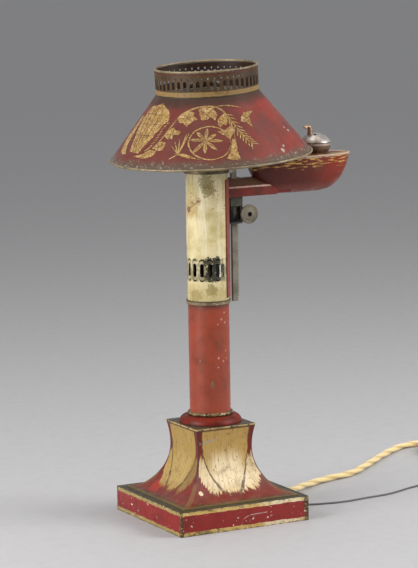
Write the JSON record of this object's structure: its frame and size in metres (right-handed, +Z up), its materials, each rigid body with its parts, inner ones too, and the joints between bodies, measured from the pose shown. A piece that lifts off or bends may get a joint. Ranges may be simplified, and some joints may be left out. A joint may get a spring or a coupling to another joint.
{
  "type": "argand oil lamp",
  "caption": "Painted and gilt argand oil lamp wired for electric light: conical shade over a column, boat-shaped oil reservoir on an arm, rack-and-pinion wick lift, square plinth",
  "frame": {"origin": "middle of the plinth's foot, on the floor, on the column's axis", "axes": "+Z up the column, +X along the oil arm to the reservoir, -Y the front with the wick knob"},
  "size_m": [0.5887, 0.2862, 0.4772],
  "materials": {
    "red_paint": "worn red japanned sheet iron",
    "salmon_paint": "faded red japanned sheet iron",
    "cream_paint": "stained cream paint",
    "gilt_paint": "rubbed gilding",
    "brass_old": "dull brass",
    "tin_silver": "tinned metal",
    "iron_black": "black iron",
    "cotton": "woven cotton",
    "silk_flex": "braided yellow covering",
    "grey_lead": "grey rubber covering",
    "black_plastic": "moulded black",
    "porcelain": "glazed white",
    "clear_glass": "clear glass"
  },
  "bodies": {
    "lamp": {"plinth_shell": "red_paint", "bottom_plate": "iron_black", "bottom_screws": "brass_old", "base_weight": "iron_black", "pedestal_shell": "gilt_paint", "pedestal_cap": "gilt_paint", "torus_ring": "salmon_paint", "torus_bead": "gilt_paint", "column_tube": "salmon_paint", "column_collar": "gilt_paint", "tie_tube": "brass_old", "tie_nuts": "brass_old", "burner_jacket": "cream_paint", "burner_floor": "brass_old", "draught_tube": "brass_old", "wick_tube": "brass_old", "burner_cap": "brass_old", "rack_guide": "brass_old", "pinion_housing": "brass_old", "oil_saddle": "red_paint", "supply_arm": "red_paint", "reservoir_hull": "red_paint", "reservoir_deck": "gilt_paint", "filler_neck": "tin_silver", "lid_hinge_pin": "brass_old", "shade_carrier": "brass_old", "lampholder": "brass_old", "holder_insert": "porcelain", "bulb_cap": "brass_old", "bulb_glass": "clear_glass", "inner_flex": "silk_flex", "flex_gland": "black_plastic", "flex_lead": "silk_flex", "flex_coil": "silk_flex", "flex_tie": "cotton", "plug_body": "black_plastic", "plug_pins": "brass_old", "earth_bush": "black_plastic", "earth_lead": "grey_lead", "earth_coil": "grey_lead", "earth_tie": "cotton", "earth_fork": "brass_old"},
    "knob_drive": {"pinion": "brass_old", "knob": "brass_old"},
    "wick_lift": {"rack": "brass_old", "lift_crank": "tin_silver", "wick_carrier": "brass_old", "wick": "cotton"},
    "lid": {"filler_lid": "tin_silver", "lid_scroll": "brass_old"},
    "shade_ring": {"shade_seat_ring": "brass_old"},
    "shade": {"shade_cone": "red_paint", "shade_collar": "gilt_paint", "shade_top_wire": "gilt_paint", "shade_bottom_wire": "gilt_paint"},
    "push_bar": {"switch_bar": "black_plastic"}
  },
  "joints": [
    {"name": "knob_turn", "type": "hinge", "parent": "lamp", "child": "knob_drive", "pos_m": [0.04, -0.0182, 0.3186], "axis": [0, 1, 0], "range_deg": [0, 238.74]},
    {"name": "wick_slide", "type": "slide", "parent": "lamp", "child": "wick_lift", "axis": [0, 0, 1], "range_m": [0, 0.02]},
    {"name": "lid_hinge", "type": "hinge", "parent": "lamp", "child": "lid", "pos_m": [0.1304, 0.0193, 0.38715], "axis": [-1, 0, 0], "range_deg": [0, 100]},
    {"name": "shade_turn", "type": "hinge", "parent": "lamp", "child": "shade_ring", "pos_m": [0.0062, 0.001, 0.3807], "axis": [-0.0575, -0.0244, 0.998], "continuous": true},
    {"name": "shade_lift", "type": "slide", "parent": "shade_ring", "child": "shade", "axis": [-0.0575, -0.0244, 0.998], "range_m": [0, 0.12]},
    {"name": "switch_push", "type": "slide", "parent": "lamp", "child": "push_bar", "axis": [0, 1, 0], "range_m": [0, 0.006]}
  ],
  "couplings": [
    {"joint": "knob_turn", "follows": "wick_slide", "rad_per_m": 208.33}
  ]
}
